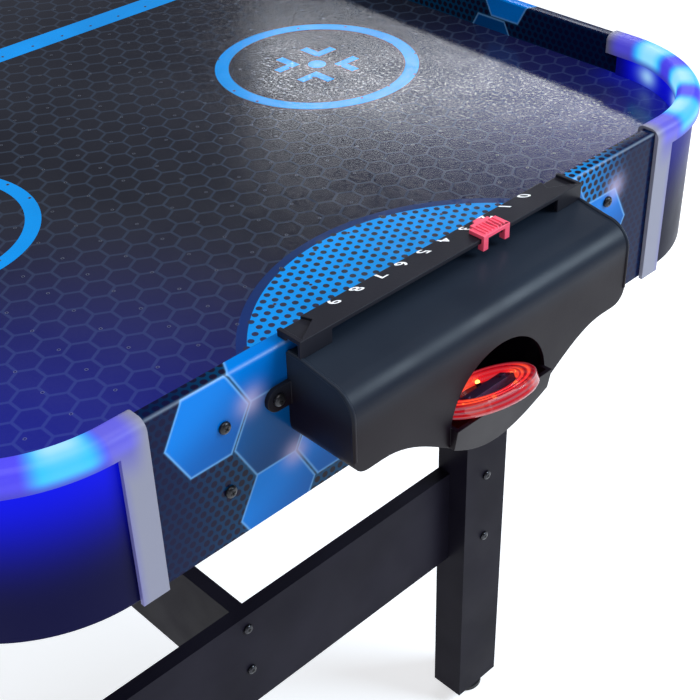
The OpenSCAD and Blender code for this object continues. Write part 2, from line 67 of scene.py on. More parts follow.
# ---------------------------------------------------------------- shader formulas
class Val:
    """A number a shader works out, so that a pattern reads like a formula."""

    def __init__(self, tree, socket):
        self.tree = tree
        self.socket = socket

    def op(self, name, *others):
        node = self.tree.nodes.new("ShaderNodeMath")
        node.operation = name
        for i, value in enumerate((self,) + others):
            if isinstance(value, Val):
                self.tree.links.new(value.socket, node.inputs[i])
            else:
                node.inputs[i].default_value = value
        return Val(self.tree, node.outputs[0])

    def __add__(self, other):
        return self.op("ADD", other)

    def __sub__(self, other):
        return self.op("SUBTRACT", other)

    def __mul__(self, other):
        return self.op("MULTIPLY", other)

    def __truediv__(self, other):
        return self.op("DIVIDE", other)

    def __abs__(self):
        return self.op("ABSOLUTE")

    def low(self, other):
        return self.op("MINIMUM", other)

    def high(self, other):
        return self.op("MAXIMUM", other)

    def clamp(self):
        return self.high(0.0).low(1.0)

    def root(self):
        return self.op("SQRT")

    def near(self, step):
        """What is left after taking away the nearest multiple of step."""
        return self - (self / step + 0.5).op("FLOOR") * step

    def ramp(self, start, end):
        """0 at start, 1 at end, smooth between them; start may be the larger."""
        node = self.tree.nodes.new("ShaderNodeMapRange")
        node.interpolation_type = "SMOOTHSTEP"
        self.tree.links.new(self.socket, node.inputs["Value"])
        node.inputs["From Min"].default_value = min(start, end)
        node.inputs["From Max"].default_value = max(start, end)
        node.inputs["To Min"].default_value = 0.0 if start < end else 1.0
        node.inputs["To Max"].default_value = 1.0 if start < end else 0.0
        return Val(self.tree, node.outputs["Result"])

    def bell(self, width):
        """1 at 0, falling away like a bell over width."""
        scaled = self / width
        return (scaled * scaled * -1.0).op("EXPONENT")


def length(a, b):
    return (a * a + b * b).root()


def hexagon(a, b, half):
    """Distance outside a hexagon with two edges across b and its points along a."""
    return (abs(b)).high(abs(b) * 0.5 + abs(a) * 0.866) - half


class Look:
    """One material: a Principled shader and short calls that build its inputs."""

    def __init__(self, name, color, rough=0.5, **sockets):
        self.mat = bpy.data.materials.new(name)
        self.mat.use_nodes = True
        self.tree = self.mat.node_tree
        self.bsdf = self.tree.nodes["Principled BSDF"]
        self.bsdf.inputs["Base Color"].default_value = (*color, 1.0)
        self.bsdf.inputs["Roughness"].default_value = rough
        for key, value in sockets.items():
            self.bsdf.inputs[key.replace("_", " ")].default_value = value
        self.coord = None

    def position(self):
        """x, y and z in the row frame at rest, as numbers."""
        if self.coord is None:
            self.coord = self.tree.nodes.new("ShaderNodeTexCoord")
            split = self.tree.nodes.new("ShaderNodeSeparateXYZ")
            self.tree.links.new(self.coord.outputs["Object"], split.inputs[0])
            self.axes = [Val(self.tree, out) for out in split.outputs]
        return self.axes

    def noise(self, scale, detail=3.0, stretch=(1, 1, 1), rough=0.5):
        self.position()
        node = self.tree.nodes.new("ShaderNodeTexNoise")
        node.inputs["Scale"].default_value = scale
        node.inputs["Detail"].default_value = detail
        node.inputs["Roughness"].default_value = rough
        mapping = self.tree.nodes.new("ShaderNodeMapping")
        mapping.inputs["Scale"].default_value = stretch
        self.tree.links.new(self.coord.outputs["Object"], mapping.inputs["Vector"])
        self.tree.links.new(mapping.outputs["Vector"], node.inputs["Vector"])
        return Val(self.tree, node.outputs[0])

    def mix(self, factor, a, b):
        """Colour a where factor is 0, b where it is 1."""
        node = self.tree.nodes.new("ShaderNodeMix")
        node.data_type = "RGBA"
        self.tree.links.new(factor.socket, node.inputs[0])
        for value, socket in ((a, node.inputs[6]), (b, node.inputs[7])):
            if isinstance(value, Val):
                self.tree.links.new(value.socket, socket)
            else:
                socket.default_value = (*value, 1.0)
        return Val(self.tree, node.outputs[2])

    def set(self, key, value):
        self.tree.links.new(value.socket, self.bsdf.inputs[key])
        return self

    def bump(self, height, strength, distance=0.001):
        node = self.tree.nodes.new("ShaderNodeBump")
        node.inputs["Strength"].default_value = strength
        node.inputs["Distance"].default_value = distance
        self.tree.links.new(height.socket, node.inputs["Height"])
        self.tree.links.new(node.outputs["Normal"], self.bsdf.inputs["Normal"])
        return self


# ---------------------------------------------------------------- materials
BLUE = (0.0, 0.29, 0.80)
DARK = (0.006, 0.007, 0.010)
PUCK_AT = Vector((-728.0, 0.5, 729.7)) * MM
PUCK_PITCH = radians(27.0)
LATTICE = 18.5 * MM


def field_surface(look, glow=1.0):
    """Fine ripple, small glints and a painted glow for the spill of the corner lights, for the field
    and its inlays.
    """
    x, y, z = look.position()
    u = abs(x) - ARC_X
    v = abs(y) - ARC_Y
    ring = length(u.high(0.0), v.high(0.0))
    close = ring.ramp(0.050, 0.096) * u.low(v).ramp(-0.045, -0.002)
    wide = length(abs(x) - HALF_L, abs(y) - HALF_W).ramp(0.42, 0.06)
    side = y.ramp(-0.1, 0.1) * 0.70 + 0.30
    # Painted light: emission glowing blue near the corners, stronger on the +y side, stands in for
    # the corner lamps' light spilling on the field.
    look.bsdf.inputs["Emission Color"].default_value = (0.0, 0.012, 1.0, 1.0)
    look.set("Emission Strength", (close * close * 0.50 + wide * wide * 0.26) * side * glow)
    look.bump(look.noise(620.0, 2.0), 0.10, 0.0006)
    look.bsdf.inputs["Specular IOR Level"].default_value = 0.38
    glints = look.noise(380.0, 1.0).ramp(0.53, 0.66)
    look.set("Roughness", look.noise(35.0, 3.0).ramp(0.3, 0.75) * 0.06 + 0.19 - glints * 0.15)
    return look


def hex_lines(x, y, pitch, line):
    """1 on the lines of a honeycomb whose cells are pitch across in y."""
    column = pitch * math.sqrt(3)
    first = hexagon(x.near(column), y.near(pitch), 0.0)
    second = hexagon((x + column / 2).near(column), (y + pitch / 2).near(pitch), 0.0)
    return first.low(second).ramp(pitch / 2 - line, pitch / 2 - line * 0.35)


def dot_mesh(x, y, pitch, radius):
    """1 on the dots of a close-packed grid."""
    row = pitch * math.sqrt(3)
    first = length(x.near(pitch), y.near(row))
    second = length((x + pitch / 2).near(pitch), (y + row / 2).near(row))
    return first.low(second).ramp(radius * 1.12, radius * 0.88)


def look_field():
    look = Look("playfield_laminate", DARK)
    x, y, z = look.position()
    lines = hex_lines(x, y, LATTICE, 1.5 * MM)
    cloud = look.noise(6.0, 4.0).ramp(0.3, 0.7)
    base = look.mix(cloud, (0.008, 0.009, 0.016), (0.016, 0.017, 0.025))
    look.set("Base Color", look.mix(lines * 0.55, base, (0.034, 0.050, 0.080)))
    return field_surface(look).mat


def look_inlay(name, color, dark=0.82):
    look = Look(name, color)
    shade = look.noise(14.0, 3.0).ramp(0.25, 0.75)
    deep = tuple(c * dark for c in color)
    look.set("Base Color", look.mix(shade, deep, color))
    return field_surface(look, glow=0.7).mat


def panel_coords(look, across, along_half):
    """(position along the panel, height over the rim's edge and in across its top)."""
    x, y, z = look.position()
    along, depth = (y, x) if across == "x" else (x, y)
    inward = abs(depth) * -1.0 + along_half
    height = z - FIELD
    inner = (inward - (WALL - 0.3 * MM)).op("SIGN").high(0.0)
    outside = height + inward
    inside = height * -1.0 + (2 * (RIM - FIELD) + WALL)
    return along, outside + (inside - outside) * inner


HEX_FLAT = 27.3 * MM


def tall_hexagon(t, s, at):
    """Signed distance to one of the panel's printed hexagons."""
    a = abs(t - at[0])
    b = abs(s - at[1])
    return b.high(b * 0.5 + a * 0.941) - HEX_FLAT


def look_panel(name, across, half, turned, cells, glows, bright):
    """Printed laminate: large lit hexagons over a dotted mesh that fades to navy, and a painted
    highlight along the top outer edge.

    cells are hexagon centres (position along, height, brightness), glows the pale spots where
    hexagons meet; bright is (start, end) of the fade of the mesh on the plus and minus sides.
    """
    look = Look(name, (0.004, 0.02, 0.09))
    t, s = panel_coords(look, across, half)
    x, y, z = look.position()
    t = t * x.op("SIGN") * -1.0 if turned else abs(t)
    dots = dot_mesh(t, s, 6.3 * MM, 2.2 * MM)
    plus, minus = bright
    lit = t.ramp(plus[1], plus[0])
    if turned:
        lit = lit * t.ramp(-0.01, 0.01)
    mesh = look.mix(lit, (0.001, 0.010, 0.046), (0.001, 0.050, 0.125))
    if turned:
        other_end = t.ramp(minus[1], minus[0]) * t.ramp(0.01, -0.01)
        mesh = look.mix(other_end, mesh, (0.002, 0.20, 0.55))
        lit = lit.high(other_end)
    dot_color = look.mix(lit, (0.003, 0.004, 0.030), (0.010, 0.008, 0.017))
    color = look.mix(dots, mesh, dot_color)
    for at in cells:
        d = tall_hexagon(t, s, at)
        inside = d.ramp(0.0004, -0.0004)
        slant = ((s - at[1]) + (t - at[0]) * 0.5).ramp(-0.022, 0.022)
        level = at[2]
        lower = (0.0, 0.085 * level + 0.008, 0.34 * level + 0.02)
        upper = (0.0, 0.175 * level + 0.008, 0.62 * level + 0.02)
        color = look.mix(inside, color, look.mix(slant, lower, upper))
        edge = abs(d + 0.0004).bell(0.00075)
        color = look.mix((edge * 0.6).clamp(), color, (0.17, 0.42, 0.74))
    halo = None
    for at in glows:
        spot = length(t - at[0], s - at[1]).bell(0.0085)
        halo = spot if halo is None else halo.high(spot)
    if halo is not None:
        color = look.mix((halo * 0.62).clamp(), color, (0.50, 0.42, 0.60))
    # Painted highlight: a pale line along the top outer edge stands in for the shine on the rounded
    # edge.
    face = abs(x) - HALF_L if turned else abs(y) - HALF_W
    edge = length(z - RIM, face).bell(0.0011)
    color = look.mix((edge * 0.7).clamp(), color, (0.55, 0.68, 0.85))
    look.set("Base Color", color)
    look.bsdf.inputs["Specular IOR Level"].default_value = 0.07
    look.set("Roughness", look.noise(40.0, 3.0).ramp(0.3, 0.7) * 0.08 + 0.14)
    look.bump(look.noise(55.0, 2.0), 0.05, 0.0006)
    return look.mat


def satin(name, color, rough, grain=900.0, depth=0.12, shine=0.20, **sockets):
    """Moulded or foil-covered black and grey surfaces: fine grain, faint wear and smudges."""
    look = Look(name, color, rough, **sockets)
    if "Metallic" not in sockets and max(color) < 0.1:
        look.bsdf.inputs["Specular IOR Level"].default_value = shine
    wear_and_sheen = look.noise(9.0, 5.0).ramp(0.35, 0.7)
    light = tuple(min(1.0, c * 1.35 + 0.002) for c in color)
    look.set("Base Color", look.mix(wear_and_sheen, color, light))
    look.set("Roughness", look.noise(22.0, 4.0).ramp(0.3, 0.7) * 0.10 + (rough - 0.05))
    look.bump(look.noise(grain, 2.0), depth, 0.0004)
    return look.mat


def look_goal_box():
    """Black moulding with a painted highlight: its top a little bluer and lighter than its front, in
    patches.
    """
    look = Look("goal_box_plastic", (0.004, 0.002, 0.005), 0.38)
    x, y, z = look.position()
    # Painted highlight: above the front, the top gets a lighter bluish colour, patchy with noise,
    # where light would catch it.
    top = z.ramp(FIELD - 0.012, FIELD + 0.016)
    wear_and_sheen = look.noise(9.0, 5.0).ramp(0.35, 0.7) * 0.25 + 0.75
    look.set("Base Color", look.mix(top * wear_and_sheen, (0.005, 0.002, 0.005), (0.016, 0.023, 0.036)))
    look.bsdf.inputs["Specular IOR Level"].default_value = 0.12
    look.set("Roughness", look.noise(22.0, 4.0).ramp(0.3, 0.7) * 0.10 + 0.32)
    return look.bump(look.noise(650.0, 2.0), 0.08, 0.0004).mat


def look_timber():
    look = Look("sawn_pine", (0.55, 0.40, 0.24), 0.7)
    grain = look.noise(16.0, 6.0, stretch=(1, 9, 9))
    rings = (grain * 14.0).op("SINE").ramp(-0.6, 0.9)
    look.set("Base Color", look.mix(rings, (0.40, 0.26, 0.13), (0.62, 0.47, 0.30)))
    return look.bump(grain, 0.3).mat


def look_hardboard():
    look = Look("hardboard", (0.10, 0.075, 0.055), 0.75)
    fibres = look.noise(220.0, 6.0, rough=0.8).ramp(0.3, 0.75)
    look.set("Base Color", look.mix(fibres, (0.045, 0.036, 0.030), (0.10, 0.078, 0.058)))
    return look.bump(fibres, 0.25).mat


def look_metal(name, color, rough):
    look = Look(name, color, rough, Metallic=1.0)
    brushed = look.noise(260.0, 3.0, stretch=(1, 1, 12))
    look.set("Roughness", brushed.ramp(0.3, 0.7) * 0.2 + rough)
    return look.bump(brushed, 0.08, 0.0003).mat


def lamp_field(look):
    """(how near a lamp, 0 to 1; how far round the bend, 0 on the straps to 1 on the arc)."""
    x, y, z = look.position()
    u = abs(x) - ARC_X
    v = abs(y) - ARC_Y
    angle = v.op("ARCTAN2", u) * (180.0 / pi)
    lamps = None
    for at in (15.0, 45.0, 75.0):
        spot = abs(angle - at).ramp(13.0, 6.0)
        lamps = spot if lamps is None else lamps.high(spot)
    bend = u.low(v).ramp(-0.006, 0.010)
    return lamps, bend, length(u.high(0.0), v.high(0.0)), z, u.low(v), angle


def look_channel():
    """Milky diffuser: lamps glow cyan-white through it, blue between, grey on the straps."""
    look = Look("milky_diffuser", (0.24, 0.24, 0.32), 0.36)
    look.bsdf.inputs["Specular IOR Level"].default_value = 0.22
    lamps, bend, radius, z, reach, angle = lamp_field(look)
    high = z.ramp(RIM - 0.014, RIM - 0.006)
    strap = z.ramp(RIM - 0.036, RIM - 0.002) * reach.ramp(-0.0185, -0.0055)
    glow = bend.high(strap * 0.72)
    core = lamps * (high * 0.85 + 0.15)
    look.set("Base Color", look.mix(glow, (0.235, 0.235, 0.30), (0.03, 0.025, 0.22)))
    blend = look.noise(18.0, 2.0).ramp(0.2, 0.8) * 0.25
    between = look.mix(blend, (0.075, 0.06, 1.0), (0.14, 0.11, 1.0))
    hue = look.mix(core, between, (0.0, 0.58, 1.0))
    middle = abs(angle.near(30.0) * 1.0).ramp(5.0, 13.0)
    white = core * middle * abs(radius - (CORNER_R - 0.010)).bell(0.0085)
    look.set("Emission Color", look.mix((white * 0.60).clamp(), hue, (0.62, 0.96, 1.0)))
    look.set("Emission Strength", glow * (high * 0.45 + 0.48) * (core * 0.30 + 0.74))
    return look.bump(look.noise(30.0, 3.0), 0.03).mat


def look_liner():
    """Glossy inner wall of a lit corner, deep blue with a soft spot under each lamp."""
    look = Look("lit_liner", (0.003, 0.004, 0.06), 0.16, Coat_Weight=0.3)
    lamps, bend, radius, z, reach, angle = lamp_field(look)
    height = (z - FIELD) / (RIM - FIELD)
    spots = (abs(angle - 15.0).bell(5.5)).high(abs(angle - 45.0).bell(5.5))
    spots = spots.high(abs(angle - 75.0).bell(5.5)) * abs(height - 0.30).bell(0.24)
    look.set("Emission Color", look.mix(spots.clamp(), (0.0, 0.001, 1.0), (0.34, 0.62, 1.0)))
    look.set("Emission Strength", (bend * 0.55 + 0.18) * (height * 0.5 + 0.55) + spots * 0.35)
    return look.bump(look.noise(45.0, 3.0), 0.04).mat


def look_corner_shell():
    """Black moulding that catches the blue light of the channel above it."""
    look = Look("corner_shell_plastic", (0.002, 0.002, 0.007), 0.36)
    look.bsdf.inputs["Specular IOR Level"].default_value = 0.05
    x, y, z = look.position()
    lamps, bend, radius, height, reach, angle = lamp_field(look)
    top = z.ramp(RIM - 0.120, RIM - 0.008)
    side = y.ramp(-0.1, 0.1) * 0.70 + 0.30
    # Painted light: emission, strongest near the top and on the +y side, stands in for the channel's
    # blue light falling on the moulding.
    look.bsdf.inputs["Emission Color"].default_value = (0.0, 0.004, 1.0, 1.0)
    look.set("Emission Strength", (top * top * top * 0.85 + 0.035) * side
             * (bend * 0.6 + 0.4))
    look.set("Roughness", look.noise(22.0, 4.0).ramp(0.3, 0.7) * 0.10 + 0.32)
    return look.bump(look.noise(700.0, 2.0), 0.12, 0.0004).mat


def look_puck():
    """Clear moulding lit red from inside, in concentric rings round its own middle."""
    look = Look("puck_clear", (0.20, 0.004, 0.010), 0.10, Alpha=0.72, Coat_Weight=0.6)
    x, y, z = look.position()
    across = (x - PUCK_AT.x) * cos(PUCK_PITCH) - (z - PUCK_AT.z) * math.sin(PUCK_PITCH)
    radius = length(across, y - PUCK_AT.y)
    steps = abs(radius - 0.0285).bell(0.0013).high(abs(radius - 0.0243).bell(0.0012))
    lit = steps.high(abs(radius - 0.0212).bell(0.0016))
    height = (x - PUCK_AT.x) * math.sin(PUCK_PITCH) + (z - PUCK_AT.z) * cos(PUCK_PITCH)
    rim = radius.ramp(0.0312, 0.0322)
    bands = abs(height.near(0.0030)).ramp(0.0004, 0.0010)
    turn = (y - PUCK_AT.y).op("ARCTAN2", across) * (3.0 / pi)
    spots = abs(turn.near(2.0)).ramp(0.85, 0.15)
    red = look.mix(lit, (0.42, 0.0, 0.010), (1.0, 0.020, 0.030))
    red = look.mix((lit * spots * spots * 0.5).clamp(), red, (1.0, 0.16, 0.03))
    wall = look.mix(bands, (0.55, 0.33, 0.42), (1.0, 0.010, 0.030))
    look.set("Emission Color", look.mix(rim, red, wall))
    look.set("Emission Strength", (lit * (spots * 0.60 + 0.60) + 0.42) * (rim * -0.25 + 1.0))
    return look.bump(look.noise(160.0, 2.0), 0.06).mat


def glowing(name, color, strength):
    look = Look(name, color, 0.4)
    look.set("Emission Color", look.mix(look.noise(400.0).ramp(0.3, 0.7), color,
                                        tuple(min(1.0, c * 1.2 + 0.02) for c in color)))
    look.bsdf.inputs["Emission Strength"].default_value = strength
    return look.mat


END_CELLS = [
    (0.180, 0.0023, 1.0), (0.1345, 0.0290, 1.0), (0.1345, -0.0240, 0.42),
    (0.1345, -0.0770, 0.95), (0.089, -0.0500, 1.0), (0.089, 0.003, 0.9),
    (-0.163, -0.0242, 0.95), (-0.1175, -0.0510, 0.9), (-0.1175, 0.0020, 0.9),
]
SIDE_CELLS = [
    (0.500, 0.0023, 1.0), (0.4545, 0.0290, 1.0), (0.4545, -0.0240, 0.42),
    (0.4545, -0.0770, 0.95), (0.409, -0.0500, 1.0), (0.3635, -0.0240, 0.8),
    (0.3635, -0.0770, 0.6), (0.4400, 0.0850, 0.55),
]
END_GLOWS = [(0.1495, 0.0030), (0.1195, -0.0505), (-0.177, 0.0035)]
SIDE_GLOWS = [(0.4395, -0.0505)]
# where the mesh fades: start and end towards plus, then towards minus (end panels only)
FADE_END = ((0.13, 0.212), (-0.135, -0.195))
FADE_SIDE = ((0.30, 0.54), (-0.30, -0.54))

looks = {
    "playfield_laminate": look_field(),
    "hardboard": look_hardboard(),
    "rail_wood": look_timber(),
    "end_panel_laminate": look_panel("end_panel_print", "x", HALF_L, True, END_CELLS, END_GLOWS,
                                     FADE_END),
    "side_panel_laminate": look_panel("side_panel_print", "y", HALF_W, False, SIDE_CELLS,
                                      SIDE_GLOWS, FADE_SIDE),
    "corner_plastic": look_corner_shell(),
    "liner_plastic": look_liner(),
    "milky_plastic": look_channel(),
    "led_strip": glowing("led_strip_lamps", (0.35, 0.75, 1.0), 3.0),
    "goal_box_plastic": look_goal_box(),
    "scorer_plastic": satin("scorer_plastic", (0.009, 0.009, 0.014), 0.42, 900.0, 0.14, 0.14),
    "slider_plastic": satin("slider_plastic", (0.86, 0.075, 0.135), 0.33, 500.0, 0.05),
    "puck_clear": look_puck(),
    "puck_core": satin("puck_core_plastic", (0.060, 0.028, 0.070), 0.35, 400.0, 0.05),
    "fan_plastic": satin("fan_plastic", (0.016, 0.016, 0.017), 0.45),
    "motor_metal": look_metal("motor_metal", (0.45, 0.42, 0.38), 0.3),
    "chrome_wire": look_metal("chrome_wire", (0.70, 0.70, 0.72), 0.12),
    "box_plastic": satin("box_plastic", (0.016, 0.016, 0.018), 0.5),
    "rocker_plastic": satin("rocker_plastic", (0.55, 0.02, 0.02), 0.3),
    "zinc_steel": look_metal("zinc_steel", (0.50, 0.50, 0.53), 0.3),
    "black_steel": satin("black_steel", (0.020, 0.020, 0.023), 0.28, 500.0, 0.04, Metallic=0.6),
    "leg_laminate": satin("leg_foil", (0.006, 0.005, 0.010), 0.40, 500.0, 0.08, 0.045),
    "stand_laminate": satin("stand_foil", (0.007, 0.006, 0.012), 0.42, 500.0, 0.08, 0.05),
    "foot_plastic": satin("foot_plastic", (0.018, 0.018, 0.019), 0.5),
}


# ---------------------------------------------------------------- mesh helpers
def new_piece(name, mesh, mat, body="table"):
    piece = bpy.data.objects.new(name, mesh)
    bpy.context.scene.collection.objects.link(piece)
    mesh.materials.clear()
    mesh.materials.append(mat)
    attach(piece, body)
    return piece


def smooth_by_angle(bm, degrees):
    for face in bm.faces:
        face.smooth = True
    for edge in bm.edges:
        if len(edge.link_faces) == 2:
            edge.smooth = edge.calc_face_angle(0.0) < radians(degrees)


def refine(node, slot, width=0.6 * MM, segments=2, angle=28.0):
    """Stands a cleaned copy of a CAD node in its place, with its sharp edges eased."""
    bm = bmesh.new()
    bm.from_mesh(frame["nodes"][node].data)
    bmesh.ops.remove_doubles(bm, verts=bm.verts, dist=1e-5)
    bmesh.ops.dissolve_limit(bm, angle_limit=radians(0.5), verts=bm.verts, edges=bm.edges)
    smooth_by_angle(bm, angle)
    mesh = bpy.data.meshes.new(node + "_finished")
    bm.to_mesh(mesh)
    bm.free()
    piece = new_piece(node + "_finished", mesh, looks[slot], body_of(node))
    if width:
        bevel = piece.modifiers.new("eased_edges", "BEVEL")
        bevel.width = width
        bevel.segments = segments
        bevel.limit_method = "ANGLE"
        bevel.angle_limit = radians(angle)
        bevel.harden_normals = True
        bevel.use_clamp_overlap = True
    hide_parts(node)
    return piece


def body_of(node):
    bodies = frame["record"]["behaviour"]["bodies"]
    return next(b for b, members in bodies.items() if node in members)


def flat_mesh(name, faces_2d, z, mat, body="table"):
    """One mesh of flat polygons at a height: each is a list of (x, y)."""
    mesh = bpy.data.meshes.new(name)
    verts = []
    faces = []
    for outline in faces_2d:
        start = len(verts)
        verts += [(x, y, z) for x, y in outline]
        faces.append(range(start, len(verts)))
    mesh.from_pydata(verts, [], [list(f) for f in faces])
    mesh.validate()
    return new_piece(name, mesh, mat, body)


def ring_faces(cx, cy, inner, outer, steps, start=0.0, end=2 * pi):
    """Quads of a flat ring, or of part of one."""
    quads = []
    for i in range(steps):
        a, b = (start + (end - start) * k / steps for k in (i, i + 1))
        quads.append([(cx + r * cos(t), cy + r * sin(t))
                      for r, t in ((inner, a), (outer, a), (outer, b), (inner, b))])
    return quads


def disc_face(cx, cy, radius, steps, turn=0.0):
    return [(cx + radius * cos(2 * pi * k / steps + turn),
             cy + radius * sin(2 * pi * k / steps + turn)) for k in range(steps)]


def rect(x0, x1, y0, y1):
    return [(x0, y0), (x1, y0), (x1, y1), (x0, y1)]


# ---------------------------------------------------------------- CAD nodes with eased edges
def finish_nodes():
    slots = {s["node"]: s["material_slot"] for s in frame["record"]["subparts"]}
    widths = {
        "goal_box": 1.2 * MM, "scorer_bar": 0.5 * MM, "score_slider": 0.5 * MM,
        "leg_": 1.0 * MM, "end_board": 1.6 * MM, "stretcher": 1.6 * MM,
        "corner_shell": 0.8 * MM, "light_channel": 0.4 * MM, "leveler": 0.8 * MM,
        "wiring_box": 1.0 * MM, "switch_bezel": 0.5 * MM, "fan_frame": 0.8 * MM,
        "corner_liner": 0.3 * MM, "end_panel": 0.4 * MM, "side_panel": 0.4 * MM,
    }
    hidden_screws = ("panel_screws", "goal_box_screws", "leg_bolts", "stretcher_bolts")
    for node, slot in slots.items():
        if node in hidden_screws:
            continue
        width = next((w for key, w in widths.items() if node.startswith(key)), 0.25 * MM)
        refine(node, slot, width, 3 if width > 1.0 * MM else 2)


finish_nodes()


# ---------------------------------------------------------------- playing surface print
INLAY = 0.06 * MM
FACE_OFF_X = 292 * MM
FACE_OFF_Y = 183 * MM
CREASE_BACK = 61 * MM
CREASE_R = 155 * MM
CREASE_RIM = 6.5 * MM
ZONE_LINE = (163.5 * MM, 187.5 * MM)


def face_off_faces(cx, cy):
    faces = ring_faces(cx, cy, 72 * MM, 83 * MM, 96)
    faces.append(disc_face(cx, cy, 7.4 * MM, 24))
    near, far, stroke = 10 * MM, 31 * MM, 7.2 * MM
    for sx in (-1, 1):
        for sy in (-1, 1):
            corner = [(near, near), (far, near), (far, near + stroke),
                      (near + stroke, near + stroke), (near + stroke, far), (near, far)]
            faces.append([(cx + sx * a, cy + sy * b) for a, b in corner])
    return faces


def crease_spot(end, r, angle):
    """A point of the crease: r from its centre, which lies behind the end panel."""
    return (end * (INNER_L + CREASE_BACK - r * cos(angle)), r * sin(angle))


def crease_faces(end, inner, outer, steps=72):
    """The part of a ring, or of a disc where inner is None, that lies on the field."""
    reach = math.acos(CREASE_BACK / outer)
    low = reach if inner is None or inner < CREASE_BACK else math.acos(CREASE_BACK / inner)
    if inner is None:
        arc = [crease_spot(end, outer, -reach + 2 * reach * k / steps) for k in range(steps + 1)]
        return [arc]
    quads = []
    for k in range(steps):
        a0, a1 = (-1 + 2 * j / steps for j in (k, k + 1))
        quads.append([crease_spot(end, inner, a0 * low), crease_spot(end, outer, a0 * reach),
                      crease_spot(end, outer, a1 * reach), crease_spot(end, inner, a1 * low)])
    return quads


def crease_dots(end, radius, pitch=7.45 * MM, dot=2.15 * MM):
    faces = []
    step_y = pitch * math.sqrt(3) / 2
    rows = int(radius / step_y) + 1
    for j in range(-rows, rows + 1):
        y = j * step_y
        for i in range(-rows, rows + 1):
            depth = (i + (j % 2) / 2) * pitch + 2 * MM
            if depth < dot or math.hypot(depth + CREASE_BACK, y) > radius + dot * 0.3:
                continue
            faces.append(disc_face(end * (INNER_L - depth), y, dot, 12, pi / 12))
    return faces


def print_field():
    blue = look_inlay("field_blue", BLUE)
    deep = look_inlay("field_blue_edge", (0.007, 0.028, 0.115))
    dark = look_inlay("field_dots", (0.030, 0.034, 0.048), 0.7)
    lines = [rect(end * ZONE_LINE[0], end * ZONE_LINE[1], -INNER_W, INNER_W) for end in (-1, 1)]
    lines.append(rect(-4 * MM, 4 * MM, -INNER_W, -100 * MM))
    lines.append(rect(-4 * MM, 4 * MM, 100 * MM, INNER_W))
    lines += ring_faces(0, 0, 92 * MM, 100 * MM, 120)
    lines += ring_faces(0, 0, 60 * MM, 63 * MM, 96)
    lines.append(disc_face(0, 0, 9 * MM, 32))
    for end in (-1, 1):
        for side in (-1, 1):
            lines += face_off_faces(end * (INNER_L - FACE_OFF_X), side * FACE_OFF_Y)
        lines += crease_faces(end, None, CREASE_R - CREASE_RIM)
    pieces = [flat_mesh("field_print_blue", lines, FIELD + INLAY, blue)]
    rims = []
    dots = []
    for end in (-1, 1):
        rims += crease_faces(end, CREASE_R - CREASE_RIM, CREASE_R)
        dots += crease_dots(end, CREASE_R - CREASE_RIM)
    pieces.append(flat_mesh("field_print_crease_edge", rims, FIELD + INLAY, deep))
    pieces.append(flat_mesh("field_print_dots", dots, FIELD + 2 * INLAY, dark))


def air_holes():
    """Rows of air holes, drawn on the field: a dark disc of painted shade in a faintly shining ring
    of painted highlight.
    """
    step_x, step_y, rim, bore = 27.6 * MM, 29.7 * MM, 1.25 * MM, 0.7 * MM
    nx = int((INNER_L - 12 * MM) / step_x)
    ny = int((INNER_W - 12 * MM) / step_y)
    # The ring's lighter colour is a painted highlight of the countersink; the dark disc is painted
    # shade in the bore.
    shine = look_inlay("air_hole_edge", (0.09, 0.10, 0.13))
    dark = look_inlay("air_hole_bore", (0.002, 0.002, 0.003))
    rims = []
    bores = []
    for i in range(-nx, nx + 1):
        for j in range(-ny, ny + 1):
            x, y = (i + 0.5) * step_x, (j + 0.5) * step_y
            out = math.hypot(max(abs(x) - ARC_X, 0), max(abs(y) - ARC_Y, 0))
            if out > 70 * MM or abs(x) > INNER_L - 8 * MM or abs(y) > INNER_W - 8 * MM:
                continue
            rims += ring_faces(x, y, bore, rim, 10)
            bores.append(disc_face(x, y, bore, 10))
    flat_mesh("air_hole_edges", rims, FIELD + 3 * INLAY, shine)
    flat_mesh("air_hole_bores", bores, FIELD + 3 * INLAY, dark)


print_field()
air_holes()


# ---------------------------------------------------------------- scorers
DIGIT_PITCH = 18.4 * MM
DIGIT_SIZE = 8.2 * MM
DIGIT_HALF_THICK = 0.13 * MM
DIGIT_MIDDLE = 0.12 * MM
DIGIT_INSET = 3.3 * MM
DIGIT_SLANT = Matrix(((1.45, -0.80, 0, 0), (0, 1, 0, 0), (0, 0, 1, 0), (0, 0, 0, 1)))


def digit_mesh(number):
    curve = bpy.data.curves.new("digit", "FONT")
    curve.body = str(number)
    curve.size = DIGIT_SIZE
    curve.align_x = "CENTER"
    curve.align_y = "CENTER"
    curve.extrude = DIGIT_HALF_THICK
    curve.offset = 0.12 * MM
    curve.resolution_u = 6
    holder = bpy.data.objects.new("digit", curve)
    bpy.context.scene.collection.objects.link(holder)
    bpy.context.view_layer.update()
    graph = bpy.context.evaluated_depsgraph_get()
    mesh = bpy.data.meshes.new_from_object(holder.evaluated_get(graph))
    bpy.data.objects.remove(holder)
    return mesh


